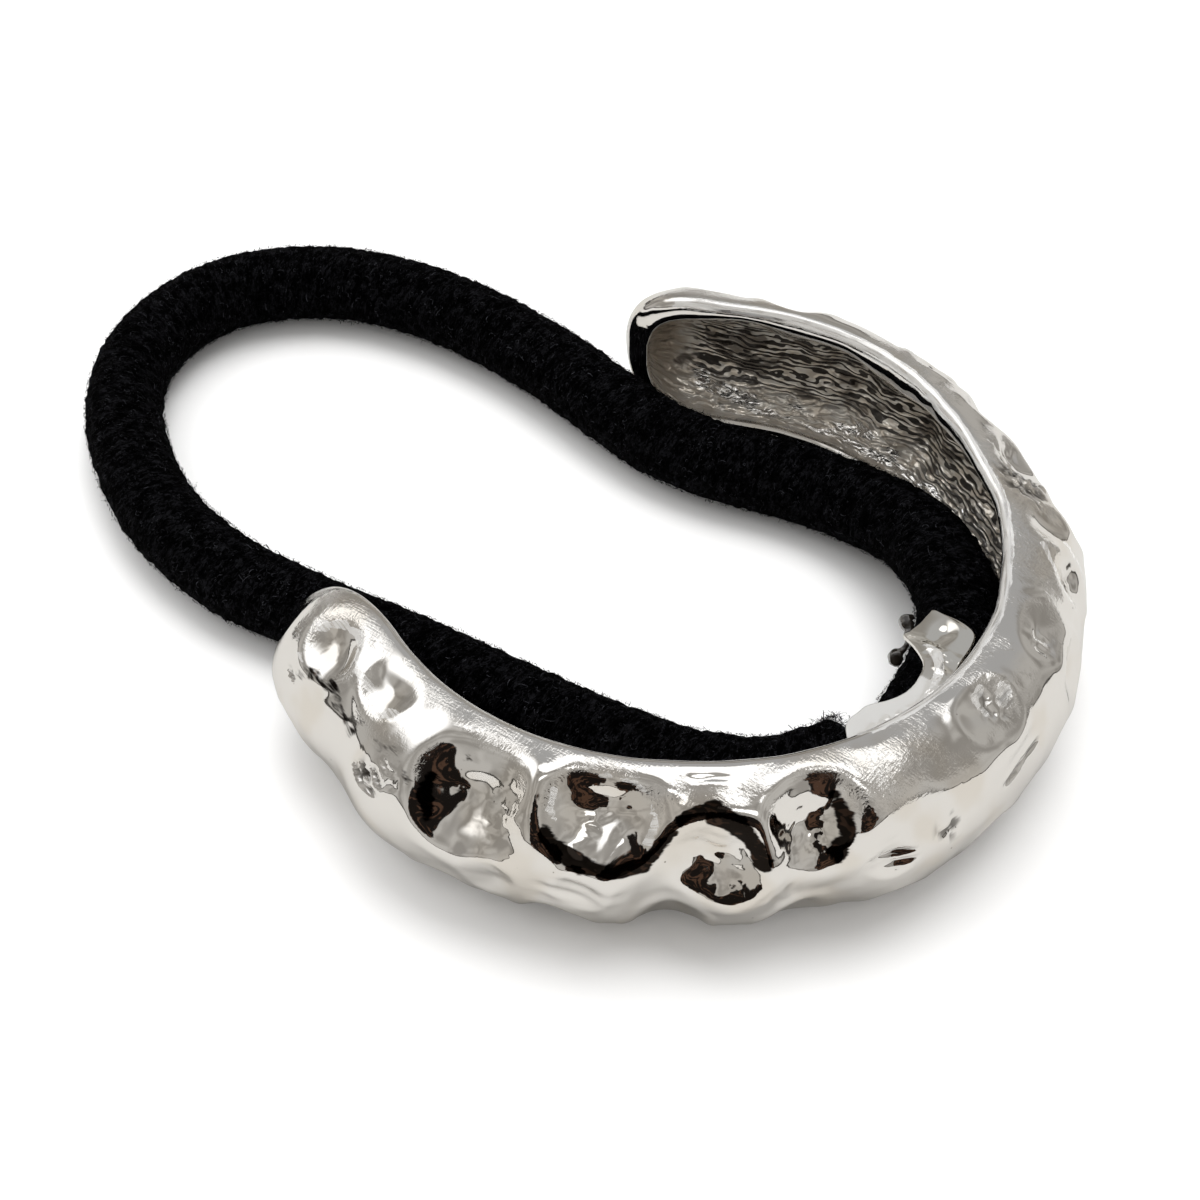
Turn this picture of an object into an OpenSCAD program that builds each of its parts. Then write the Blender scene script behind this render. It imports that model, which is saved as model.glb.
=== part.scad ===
// Hammered metal ponytail cuff with an elastic loop, lying on its side.
// A cast C-shaped channel bends round most of a ring. Its open mouth faces the
// middle of the ring. A thick elastic runs through the front of the channel,
// where a bent metal keeper holds its glued joint, and loops out between the arms.
//
// Millimetres, +Z up. The cuff rests on the lips of one side, on Z = 0. The
// origin is under the middle of the cuff's own box. The front of the cuff faces
// -Y, its two arms end towards +Y, and the elastic's loop lies beyond them.

/* [Cuff] */
// Radius of the rim line, from the ring's axis to the lips of the channel
ring_r = 18; // [16.5:0.5:22]
// Height of the cuff as it lies, over both lips
cuff_h = 10.6; // [10:0.1:13]
// How far the wall stands out beyond the rim line
channel_d = 5.2; // [4.6:0.1:7]
// Thickness of the cast wall
wall_t = 1.1; // [0.9:0.05:1.4]
// Turn from the front of the cuff to the end of each arm
arm_turn = 134; // [126:1:134]
// Length of the rounded end of each arm
tip_l = 6; // [4:0.5:8]
// How far the ends of the arms lean out from the ring
tip_lean = 1; // [0.9:0.1:1.6]
// How far the hand-made rim line wanders in and out
rim_wander = 0.4; // [0:0.05:0.5]

/* [Hammering] */
// Width of a full hammer dent
dent_w = 6.8; // [4:0.2:8]
// Depth of a full hammer dent
dent_depth = 0.95; // [0.3:0.05:1.1]
// Height of the ridge pushed up round a dent, as a share of its depth
ridge_height_share = 0.16; // [0:0.02:0.3]
// Share of each dent that also shows as a bulge inside the channel
inside_share = 0.7; // [0.6:0.05:0.9]

/* [Keeper] */
// How far the keeper's head reaches in from the rim line
keeper_reach = 3.9; // [2:0.1:5]
// Turn that the keeper covers, from its root to its head
keeper_turn = 39.5; // [30:0.5:45]
// Turn from the front of the cuff to the end of the keeper's head
keeper_end_turn = 12.5; // [8:0.5:20]
// Thickness of the keeper
keeper_t = 0.35; // [0.3:0.05:0.7]
// How far the keeper's head bends down over the elastic
keeper_drop = 0.9; // [0:0.1:1.2]
// Clearance between the keeper's root and the lip above it
keeper_gap = 0.15; // [0.1:0.05:0.3]

/* [Elastic] */
// Diameter of the elastic
elastic_d = 5; // [4:0.1:5.2]
// Diameter of the beads of glue on the elastic's joint
glue_d = 0.85; // [0.7:0.05:1.2]
// Clearance between the beads of glue and the elastic
glue_gap = 0.06; // [0.05:0.01:0.2]

/* [Hidden] */

silver = [0.80, 0.79, 0.77];
black = [0.03, 0.03, 0.035];
amber = [0.16, 0.12, 0.08];

// Places along the cuff are shares of arm_turn, from -1 at the end of the arm
// on the -X side to +1 at the end of the arm on the +X side. Places up the
// outer wall run from -1 at the lower lip to +1 at the upper lip.
// wander is a share of rim_wander, and depth a share of channel_d.
// [along, wander, depth]
sections = [
    [-1.00,  0.2, 0.86],
    [-0.93,  0.1, 1.14],
    [-0.87,  0.1, 1.15],
    [-0.81,  0.1, 1.08],
    [-0.73,  0.2, 1.22],
    [-0.62,  0.1, 1.12],
    [-0.54, -0.1, 1.05],
    [-0.49, -0.2, 1.08],
    [-0.43, -0.4, 0.83],
    [-0.36, -0.2, 1.04],
    [-0.28,  0.2, 0.91],
    [-0.19,  0.5, 1.09],
    [-0.06,  0.8, 1.02],
    [ 0.08,  0.6, 1.01],
    [ 0.17, -0.1, 1.01],
    [ 0.27, -0.4, 1.10],
    [ 0.38, -1.2, 0.96],
    [ 0.48, -0.7, 0.89],
    [ 0.53, -0.2, 0.87],
    [ 0.57,  0.2, 0.97],
    [ 0.63,  0.6, 0.80],
    [ 0.70,  0.7, 0.89],
    [ 0.77,  0.6, 0.80],
    [ 0.84,  0.4, 0.82],
    [ 0.92,  0.2, 0.95],
    [ 1.00, -0.2, 0.94]
];

// size is a share of dent_w, and depth a share of dent_depth.
// [along, up, size, depth]
dents = [
    [-0.88,  0.65, 0.60, 0.65],
    [-0.78,  0.80, 0.56, 0.50],
    [-0.90,  0.26, 0.28, 0.24],
    [-0.74,  0.27, 0.30, 0.28],
    [-0.635, 0.49, 1.04, 1.20],
    [-0.50,  0.62, 1.00, 1.15],
    [-0.38,  0.29, 0.80, 1.15],
    [-0.28,  0.46, 0.80, 0.98],
    [-0.21,  0.13, 0.40, 0.25],
    [-0.14,  0.15, 0.30, 0.30],
    [-0.05,  0.70, 0.60, 0.36],
    [ 0.09,  0.70, 0.64, 0.36],
    [-0.03,  0.12, 0.44, 0.60],
    [-0.60, -0.06, 0.46, 0.35],
    [-0.51,  0.04, 0.42, 0.30],
    [ 0.20,  0.42, 0.50, 0.36],
    [ 0.26,  0.70, 0.50, 0.34],
    [ 0.10,  0.22, 0.56, 0.55],
    [ 0.31,  0.30, 0.56, 0.60],
    [ 0.38,  0.62, 0.56, 0.65],
    [ 0.47,  0.40, 0.64, 0.75],
    [ 0.57,  0.58, 0.62, 0.70],
    [ 0.64,  0.22, 0.60, 0.60],
    [ 0.78,  0.56, 0.72, 0.80],
    [ 0.74,  0.12, 0.56, 0.55],
    [ 0.89,  0.42, 0.60, 0.55],
    [-0.90, -0.34, 0.56, 0.55],
    [-0.78, -0.42, 0.56, 0.50],
    [-0.66, -0.46, 0.52, 0.55],
    [-0.54, -0.42, 0.56, 0.65],
    [-0.42, -0.40, 0.60, 0.85],
    [-0.30, -0.38, 0.56, 0.65],
    [-0.19, -0.46, 0.52, 0.50],
    [-0.07, -0.40, 0.62, 0.50],
    [ 0.06, -0.26, 0.60, 0.55],
    [ 0.18, -0.14, 0.56, 0.50],
    [ 0.17, -0.56, 0.48, 0.45],
    [ 0.29, -0.34, 0.62, 0.65],
    [ 0.40, -0.06, 0.60, 0.65],
    [ 0.44, -0.50, 0.56, 0.55],
    [ 0.55, -0.18, 0.64, 0.70],
    [ 0.63, -0.58, 0.60, 0.70],
    [ 0.71, -0.28, 0.60, 0.60],
    [ 0.83, -0.08, 0.58, 0.60],
    [ 0.85, -0.58, 0.62, 0.65]
];

// The upper lip is thicker along parts of the +X arm. extra is a share of wall_t.
// [along, extra]
thick_lip_rows = [
    [0.38, 0.00],
    [0.47, 0.48],
    [0.53, 0.62],
    [0.57, 0.95],
    [0.62, 0.90],
    [0.68, 0.36],
    [0.76, 0.42],
    [0.84, 0.05],
    [0.93, 0.55]
];

// The outer wall is a little flatter towards the upper lip.
upper_power = 1.75;
lower_power = 2.1;
// How squarely the arms are rounded off at their ends.
tip_power = 2.6;
// Where the arms begin to lean out, as a share of arm_turn.
lean_start_share = 0.85;
// Metal left beyond the end of the mouth, as a share of wall_t.
tip_wall_share = 1.1;
// Least half height of the mouth's end, as a share of the section.
mouth_least_share = 0.25;
// Least share of the cavity at which the two lips still stand apart.
lip_merge_share = 0.35;
// The dents fade out over this share of the wall below each lip.
dent_fade_share = 0.26;
// Where the middle of an arm lies, as a share of channel_d from the rim line.
arm_middle_share = 0.5;
// The lips thin out where less than one part in lip_taper_ratio of the section is left.
lip_taper_ratio = 1.5;
// How round the bottoms of the dents are: 1 is a plain bowl with a sharp edge.
bowl_power = 1.7;
// Where the ridge round a dent lies and how wide it is, as shares of its radius.
ridge_at_share = 1.08;
ridge_width_share = 0.26;
// How far a dent's ridge is followed, as a share of its radius.
ridge_reach_share = 1.8;

mid_r = ring_r + channel_d * arm_middle_share;
lip_r = wall_t / 2;
half_h = cuff_h / 2;

main_steps = 112;
tip_steps = 8;
wall_steps = 20;
lip_steps = 3;
hollow_steps = 10;
last_tip_angle = 86;

function clamp01(x) = min(1, max(0, x));
function smooth01(x) = let (c = clamp01(x)) c * c * (3 - 2 * c);
function total(list) = len(list) == 0 ? 0 : list * [for (i = list) 1];
function unit(v) = v / norm(v);

// A smooth value of column c at place x, from a table whose first column rises.
function between(table, c, x, i = 0) =
    x <= table[0][0] ? table[0][c] :
    i >= len(table) - 1 ? table[len(table) - 1][c] :
    x <= table[i + 1][0]
        ? let (s = smooth01((x - table[i][0]) / (table[i + 1][0] - table[i][0])))
          table[i][c] + (table[i + 1][c] - table[i][c]) * s
        : between(table, c, x, i + 1);

// The same with no level places between the rows.
function slope(table, c, i) =
    let (p = max(i - 1, 0), q = min(i + 1, len(table) - 1))
    (table[q][c] - table[p][c]) / (table[q][0] - table[p][0]);
function through(table, c, x, i = 0) =
    i < len(table) - 2 && x > table[i + 1][0] ? through(table, c, x, i + 1) :
    let (w = table[i + 1][0] - table[i][0], s = clamp01((x - table[i][0]) / w), r = 1 - s)
    table[i][c] * (1 + 2 * s) * r * r + table[i + 1][c] * (1 + 2 * r) * s * s
    + w * s * r * (slope(table, c, i) * r - slope(table, c, i + 1) * s);

// Distance along the arm from angle a to the arm's end.
function run_left(a) = (arm_turn - abs(a)) * PI / 180 * mid_r;
function rounded(run, l) =
    let (q = clamp01(1 - run / l)) pow(1 - pow(q, tip_power), 1 / tip_power);
// Share of the full section, and of the full hollow, that is left at angle a.
function section_share(a) = rounded(run_left(a), tip_l);
function hollow_share(a) =
    let (end = wall_t * tip_wall_share)
    run_left(a) <= end ? 0 : rounded(run_left(a) - end, tip_l - end);
// How far the rim line is moved out at angle a.
function rim_out(a) =
    rim_wander * between(sections, 1, a / arm_turn)
    + tip_lean * smooth01((abs(a) / arm_turn - lean_start_share) / (1 - lean_start_share));

// Radius of the lip's middle, and size of the outer and inner half sections.
function lip_here(a) = lip_r * min(1, lip_taper_ratio * section_share(a));
function lip_mid_r(a) =
    mid_r - (mid_r - ring_r) * section_share(a) + lip_here(a);
function full_depth(a) = channel_d * between(sections, 2, a / arm_turn);
function outer_depth(a) =
    mid_r + (ring_r + full_depth(a) - mid_r) * section_share(a) - lip_mid_r(a);
function outer_half_h(a) = half_h * section_share(a);
function hollow_depth(a) = (full_depth(a) - lip_r - wall_t) * hollow_share(a);
function lip_extra(a, side) =
    side > 0 ? wall_t * between(thick_lip_rows, 1, a / arm_turn) : 0;
function hollow_half_h(a, side) =
    max((half_h - wall_t - lip_extra(a, side)) * hollow_share(a),
        mouth_least_share * outer_half_h(a));

// A half section: t runs from -90 at the lower lip to 90 at the upper lip.
function wall_power(t) = t > 0 ? upper_power : lower_power;
function oval(t, depth, half) =
    let (c = abs(cos(t)), s = abs(sin(t)), p = wall_power(t),
         k = pow(pow(c, p) + pow(s, p), -1 / p))
    [depth * k * c, half * k * s * sign(t)];
function oval_normal(t, depth, half) = unit([half * cos(t), depth * sin(t)]);

// A point at angle a, radius r and height z above the middle of the cuff.
function place(a, r, w) = [r * sin(a), -r * cos(a), half_h + w];
function wall_point(a, t) =
    let (p = oval(t, outer_depth(a), outer_half_h(a)))
    place(a, lip_mid_r(a) + rim_out(a) + p[0], p[1]);

// The dents: each is a round bowl with a low ridge pushed up round it.
dent_marks = [for (d = dents) [
    wall_point(d[0] * arm_turn, d[1] * 90), d[2] * dent_w / 2, d[3] * dent_depth
]];
function bowl(q) = q < 1 ? pow(1 - q * q, bowl_power) : 0;
function ridge(q) = exp(-pow((q - ridge_at_share) / ridge_width_share, 2));
function dent_at(p, mark) =
    let (q = norm(p - mark[0]) / mark[1])
    q > ridge_reach_share ? 0 : mark[2] * (bowl(q) - ridge_height_share * ridge(q));
function pushed_in(a, t) =
    let (p = wall_point(a, t), fade = smooth01((1 - abs(t) / 90) / dent_fade_share))
    fade * section_share(a) * total([for (m = dent_marks) dent_at(p, m)]);

// One closed loop round the section: outer wall, upper lip, hollow, lower lip.
function wall_loop(a, pushes) = [
    for (i = [0 : wall_steps])
        let (t = -90 + 180 * i / wall_steps,
             p = oval(t, outer_depth(a), outer_half_h(a)),
             n = oval_normal(t, outer_depth(a), outer_half_h(a)))
        p - n * pushes[i]
];
function lip_loop(a, side) =
    let (top = outer_half_h(a), low = hollow_half_h(a, side),
         merged = 1 - clamp01(hollow_share(a) / lip_merge_share))
    [for (i = [1 : lip_steps])
        let (g = 180 * i / (lip_steps + 1),
             bulge = g < 90 ? sin(g) : merged + (1 - merged) * sin(g))
        [-lip_here(a) * bulge, side * ((top + low) / 2 + (top - low) / 2 * cos(g))]];
function hollow_loop(a, pushes) =
    let (merged = 1 - clamp01(hollow_share(a) / lip_merge_share))
    [for (i = [0 : hollow_steps])
        let (t = 90 - 180 * i / hollow_steps,
             half = hollow_half_h(a, t),
             p = oval(t, hollow_depth(a), half),
             n = oval_normal(t, max(hollow_depth(a), wall_t), half),
             push = pushes[wall_steps - i * wall_steps / hollow_steps])
        p - [lip_here(a) * merged, 0] - n * push * inside_share * hollow_share(a)];
function section_loop(a) =
    let (pushes = [for (i = [0 : wall_steps]) pushed_in(a, -90 + 180 * i / wall_steps)],
         low_lip = lip_loop(a, -1),
         flat = concat(
             wall_loop(a, pushes), lip_loop(a, 1), hollow_loop(a, pushes),
             [for (i = [lip_steps - 1 : -1 : 0]) low_lip[i]]))
    [for (p = flat) place(a, lip_mid_r(a) + rim_out(a) + p[0], p[1])];

// Angles of the sections: close together in the rounded ends.
tip_turn = tip_l / mid_r * 180 / PI;
tip_angles = [for (i = [0 : tip_steps - 1])
    arm_turn - tip_turn * (1 - sin(last_tip_angle * (tip_steps - i) / tip_steps))];
main_angles = [for (i = [0 : main_steps])
    (arm_turn - tip_turn) * (2 * i / main_steps - 1)];
angles = concat(
    [for (a = tip_angles) -a], main_angles, [for (i = [tip_steps - 1 : -1 : 0]) tip_angles[i]]);
shell_loops = [for (a = angles) section_loop(a)];
shell_ends = [for (s = [-1, 1])
    let (a = s * arm_turn) place(a, mid_r + rim_out(a), 0)];

// The origin lies under the middle of the shell's own box.
shell_flat = [for (l = shell_loops) each l];
shell_x = [for (p = shell_flat) p[0]];
shell_y = [for (p = shell_flat) p[1]];
shell_z = [for (p = shell_flat) p[2]];
ring_centre = -[
    (min(shell_x) + max(shell_x)) / 2, (min(shell_y) + max(shell_y)) / 2, min(shell_z)];

// A closed skin over rings of points that all have the same number of points,
// with a fan of triangles to one middle point at each end.
module skin(rings, first, last) {
    n = len(rings[0]);
    m = len(rings);
    points = concat([for (r = rings) each r], [first, last]);
    sides = [for (i = [0 : m - 2]) for (j = [0 : n - 1])
        let (k = (j + 1) % n, a = i * n + j, b = i * n + k)
        each [[a, b, a + n], [b, b + n, a + n]]];
    start = [for (j = [0 : n - 1]) [n * m, (j + 1) % n, j]];
    end = [for (j = [0 : n - 1])
        [n * m + 1, (m - 1) * n + j, (m - 1) * n + (j + 1) % n]];
    polyhedron(points, concat(sides, start, end));
}

module cuff_shell() {
    color(silver)
        translate(ring_centre)
            skin(shell_loops, shell_ends[0], shell_ends[1]);
}

// The keeper: a thin strap whose root lies under the upper lip. Its head stands
// clear of the lip and bends down over the elastic. along runs from 0 at the
// root to 1 at the end of the head. The edges are shares of keeper_reach in
// from the rim line, and drop is a share of keeper_drop.
// [along, back edge, front edge, drop]
keeper_rows = [
    [0.00, -0.10, 0.04, 0.0],
    [0.04, -0.12, 0.30, 0.0],
    [0.08, -0.14, 0.40, 0.0],
    [0.14, -0.14, 0.44, 0.0],
    [0.20, -0.14, 0.47, 0.0],
    [0.30, -0.14, 0.38, 0.0],
    [0.40, -0.14, 0.33, 0.0],
    [0.50,  0.02, 0.37, 0.1],
    [0.60,  0.07, 0.48, 0.3],
    [0.69,  0.11, 0.76, 0.6],
    [0.77,  0.12, 1.03, 0.9],
    [0.82,  0.12, 0.99, 1.0],
    [0.90,  0.18, 0.91, 1.0],
    [0.95,  0.42, 0.88, 1.0],
    [1.00,  0.80, 0.84, 1.0]
];
keeper_steps = 36;
keeper_across = 5;
// The head drops more the further in it reaches.
bend_power = 1.6;

keeper_top = cuff_h - wall_t - keeper_gap;
function keeper_point(along, across, side) =
    let (a = keeper_end_turn - keeper_turn * (1 - along),
         back = through(keeper_rows, 1, along),
         front = through(keeper_rows, 2, along),
         reach = back + (front - back) * across,
         drop = keeper_drop * clamp01(through(keeper_rows, 3, along)) * pow(clamp01(reach), bend_power))
    place(a, ring_r + rim_out(a) - keeper_reach * reach,
          keeper_top - half_h - drop - (side > 0 ? 0 : keeper_t));
function keeper_ring(along) = concat(
    [for (i = [0 : keeper_across]) keeper_point(along, i / keeper_across, 1)],
    [for (i = [keeper_across : -1 : 0]) keeper_point(along, i / keeper_across, -1)]);

module keeper() {
    color(silver)
        translate(ring_centre)
            skin([for (i = [0 : keeper_steps]) keeper_ring(i / keeper_steps)],
                 (keeper_point(0, 0.5, 1) + keeper_point(0, 0.5, -1)) / 2,
                 (keeper_point(1, 0.5, 1) + keeper_point(1, 0.5, -1)) / 2);
}

// The elastic's route, chosen by hand: from its blunt end inside the -X arm,
// out round the loop and back along the +X arm to its squeezed end under the
// keeper. x and y are measured from the ring's axis on a ring of drawn_r, and
// grow with ring_r. lift is the height above lying on the floor, and girth a
// share of elastic_d.
// [x, y, lift, girth]
elastic_route = [
    [ -5.5, -15.2, 2.7, 0.92],
    [ -7.2, -14.1, 2.3, 1],
    [ -8.5, -12.6, 1.6, 1],
    [ -9.5, -10.7, 1.1, 1],
    [-10.2,  -8.4, 0.6, 1],
    [-10.7,  -6.1, 0.3, 1],
    [-11.1,  -2.9, 0.1, 1],
    [-11.6,   0.9, 0.1, 1],
    [-12.0,   5.4, 0.1, 1],
    [-12.3,  10.3, 0.1, 0.94],
    [-12.7,  14.5, 0.1, 0.88],
    [-13.4,  18.5, 0.1, 0.96],
    [-13.8,  23.1, 0.1, 1],
    [-13.1,  28.3, 0.1, 1],
    [-11.6,  32.4, 0.1, 1],
    [ -9.4,  36.1, 0.1, 1],
    [ -6.9,  39.1, 0.1, 1],
    [ -3.8,  41.4, 0.1, 1],
    [ -0.7,  42.5, 0.1, 1],
    [  2.4,  42.7, 0.1, 1],
    [  5.5,  42.0, 0.1, 1],
    [  8.5,  40.0, 0.1, 1],
    [ 11.0,  36.9, 0.1, 1],
    [ 12.7,  32.8, 0.1, 1],
    [ 13.5,  28.1, 0.1, 1],
    [ 13.5,  23.0, 0.1, 1],
    [ 12.9,  18.0, 0.1, 1],
    [ 12.0,  13.4, 0.1, 1],
    [ 11.4,   9.3, 0.1, 1],
    [ 11.7,   5.2, 0.1, 1],
    [ 12.7,   1.6, 0.1, 1],
    [ 13.3,  -1.9, 0.2, 1],
    [ 13.2,  -5.2, 0.6, 1],
    [ 12.3,  -8.6, 1.4, 1],
    [ 10.3, -11.7, 2.1, 1],
    [  7.7, -14.2, 2.5, 1],
    [  4.5, -15.7, 2.5, 0.96],
    [  0.9, -16.0, 2.4, 0.78],
    [ -2.3, -15.9, 2.2, 0.68],
    [ -4.3, -15.7, 2.1, 0.46]
];
elastic_sides = 10;
drawn_r = 18;

// A tube of rings square to a line of points, each ring with its own radius.
function tangent(line, i) =
    unit(line[min(i + 1, len(line) - 1)] - line[max(i - 1, 0)]);
function tube_ring(line, radii, sides, i) =
    let (t = tangent(line, i), across = unit(cross(t, [0, 0, 1])), up = cross(across, t))
    [for (k = [0 : sides - 1])
        let (g = 360 * (k + 0.5) / sides)
        line[i] + radii[i] * (cos(g) * across + sin(g) * up)];
module tube(line, radii, sides) {
    skin([for (i = [0 : len(line) - 1]) tube_ring(line, radii, sides, i)],
         line[0], line[len(line) - 1]);
}

function on_floor(row) =
    let (grow = ring_r / drawn_r) [row[0] * grow, row[1] * grow, elastic_d / 2 + row[2]];

module elastic_loop() {
    color(black)
        translate(ring_centre)
            tube([for (r = elastic_route) on_floor(r)],
                 [for (r = elastic_route) r[3] * elastic_d / 2], elastic_sides);
}

// The glued joint: two beads and the neck between them, on the inner side of
// the elastic. at counts along the rows of the elastic's route. back is the
// distance in from the elastic's middle line as a share of its radius, lift is
// the height above that line, and girth is a share of glue_d.
// [at, back, lift, girth]
glue_rows = [
    [35.62, 0.97, 0.55, 0.35],
    [35.72, 0.98, 0.55, 0.85],
    [35.82, 0.97, 0.50, 1.00],
    [35.96, 0.98, 0.45, 0.60],
    [36.20, 0.97, 0.35, 0.40],
    [36.42, 0.98, 0.25, 0.45],
    [36.56, 0.98, 0.20, 0.85],
    [36.66, 0.97, 0.15, 0.95],
    [36.76, 0.95, 0.10, 0.45]
];
glue_sides = 8;

function route_at(x) =
    let (i = min(floor(x), len(elastic_route) - 2), s = x - i)
    elastic_route[i] * (1 - s) + elastic_route[i + 1] * s;
function glue_point(row) =
    let (here = route_at(row[0]), middle = on_floor(here),
         inward = unit([-middle[0], -middle[1], 0]))
    middle + [0, 0, row[2]]
    + inward * (elastic_d / 2 * here[3] * row[1] + glue_gap + row[3] * glue_d / 2);

module joint_glue() {
    color(amber)
        translate(ring_centre)
            tube([for (r = glue_rows) glue_point(r)],
                 [for (r = glue_rows) r[3] * glue_d / 2], glue_sides);
}

cuff_shell();
keeper();
elastic_loop();
joint_glue();
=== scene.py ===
import math

import bpy
import numpy as np
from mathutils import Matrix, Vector, noise


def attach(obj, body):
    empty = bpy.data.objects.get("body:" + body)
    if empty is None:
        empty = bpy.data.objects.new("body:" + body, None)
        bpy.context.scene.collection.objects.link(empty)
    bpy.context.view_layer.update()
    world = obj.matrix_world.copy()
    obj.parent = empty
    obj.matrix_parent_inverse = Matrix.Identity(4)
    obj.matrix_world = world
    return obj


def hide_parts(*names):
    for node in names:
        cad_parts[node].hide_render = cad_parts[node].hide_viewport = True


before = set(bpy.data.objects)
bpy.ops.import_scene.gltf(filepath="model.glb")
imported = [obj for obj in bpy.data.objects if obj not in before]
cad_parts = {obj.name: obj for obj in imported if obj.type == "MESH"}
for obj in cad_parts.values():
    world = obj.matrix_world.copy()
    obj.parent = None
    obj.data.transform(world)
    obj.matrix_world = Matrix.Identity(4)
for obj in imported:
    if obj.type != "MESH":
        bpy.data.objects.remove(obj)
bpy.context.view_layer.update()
scene = bpy.context.scene

MM = 0.001
rng = np.random.default_rng(7)

# ---------------------------------------------------------------- camera
view_turn, view_rise, view_far = -54.0, 47.0, 0.12759
aim = Vector((0.00019, 0.00963, 0.0))
a, e = math.radians(view_turn), math.radians(view_rise)
back = Vector((math.sin(a) * math.cos(e), -math.cos(a) * math.cos(e), math.sin(e)))
cam_data = bpy.data.cameras.new("camera")
cam_data.sensor_width = 36.0
cam_data.lens = 62.47
cam_data.clip_start, cam_data.clip_end = 0.005, 20.0
cam = bpy.data.objects.new("camera", cam_data)
scene.collection.objects.link(cam)
cam.location = aim + back * view_far
cam.rotation_euler = (-back).to_track_quat("-Z", "Y").to_euler()
scene.camera = cam
scene.view_settings.view_transform = "Standard"
scene.view_settings.look = "None"


# ---------------------------------------------------------------- helpers
def clamp01(x):
    return np.clip(x, 0.0, 1.0)


def smooth01(x):
    c = clamp01(x)
    return c * c * (3 - 2 * c)


def between(table, column, x):
    """The rows joined by soft steps, level at each row."""
    t = np.array(table, float)
    out = np.full(np.shape(x), t[0, column])
    for i in range(len(t) - 1):
        s = smooth01((x - t[i, 0]) / (t[i + 1, 0] - t[i, 0]))
        out = np.where(x > t[i, 0], t[i, column] + (t[i + 1, column] - t[i, column]) * s, out)
    return out


def through(table, column, x):
    """A smooth line through the rows, with no level places between them."""
    t = np.array(table, float)
    at, y = t[:, 0], t[:, column]
    p, q = np.maximum(np.arange(len(t)) - 1, 0), np.minimum(np.arange(len(t)) + 1, len(t) - 1)
    slope = (y[q] - y[p]) / (at[q] - at[p])
    i = np.clip(np.searchsorted(at, x) - 1, 0, len(t) - 2)
    w = at[i + 1] - at[i]
    s = clamp01((x - at[i]) / w)
    r = 1 - s
    return (y[i] * (1 + 2 * s) * r * r + y[i + 1] * (1 + 2 * r) * s * s
            + w * s * r * (slope[i] * r - slope[i + 1] * s))


def unit(v):
    return v / np.maximum(np.linalg.norm(v, axis=-1, keepdims=True), 1e-12)


def wobble(points, size, seed=0.0):
    """Smooth noise, about -1 to 1, at points in mm; size is its grain in mm."""
    flat = points.reshape(-1, 3) / size + seed
    out = np.fromiter((noise.noise(p) for p in flat.tolist()), float, len(flat))
    return out.reshape(points.shape[:-1])


def wobble3(points, size, seed):
    """Three noises, one for each axis."""
    return np.stack([wobble(points, size, seed + 13 * k) for k in range(3)], -1)


def to_segment(points, start, end):
    """How far along a straight run from start to end points are, and how far from it."""
    run = end - start
    s = clamp01(((points - start) @ run) / (run @ run))
    return s, np.linalg.norm(points - start - s[..., None] * run, axis=-1)


def new_object(name, verts, faces, material):
    """A piece from points in mm that rides on the one body."""
    mesh = bpy.data.meshes.new(name)
    mesh.from_pydata((np.asarray(verts) * MM).tolist(), [], faces)
    mesh.validate()
    mesh.materials.append(material)
    mesh.shade_smooth()
    obj = bpy.data.objects.new(name, mesh)
    scene.collection.objects.link(obj)
    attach(obj, "root")
    return obj


def skin_faces(rings, n):
    """Quads over closed rings, with a fan to one middle point at each end."""
    faces = []
    for i in range(rings - 1):
        for j in range(n):
            k = (j + 1) % n
            faces.append((i * n + j, i * n + k, (i + 1) * n + k, (i + 1) * n + j))
    first, last = rings * n, rings * n + 1
    for j in range(n):
        k = (j + 1) % n
        faces.append((first, k, j))
        faces.append((last, (rings - 1) * n + j, (rings - 1) * n + k))
    return faces


def point_value(obj, name, values):
    layer = obj.data.attributes.new(name, "FLOAT", "POINT")
    layer.data.foreach_set("value", np.asarray(values, np.float32).ravel())


def grid_uv(obj, u, v):
    """A UV map from one u and v for each point; faces across the seam are unwrapped."""
    mesh = obj.data
    layer = mesh.uv_layers.new(name="winding")
    index = np.empty(len(mesh.loops), int)
    mesh.loops.foreach_get("vertex_index", index)
    uv = np.stack([np.asarray(u)[index], np.asarray(v)[index]], 1)
    starts = np.empty(len(mesh.polygons), int)
    mesh.polygons.foreach_get("loop_start", starts)
    counts = np.empty(len(mesh.polygons), int)
    mesh.polygons.foreach_get("loop_total", counts)
    period = float(np.max(v))
    for s, c in zip(starts, counts):
        part = uv[s:s + c, 1]
        if part.max() - part.min() > 0.5 * period:
            part[part < 0.5 * period] += period
    layer.data.foreach_set("uv", uv.ravel())


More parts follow.
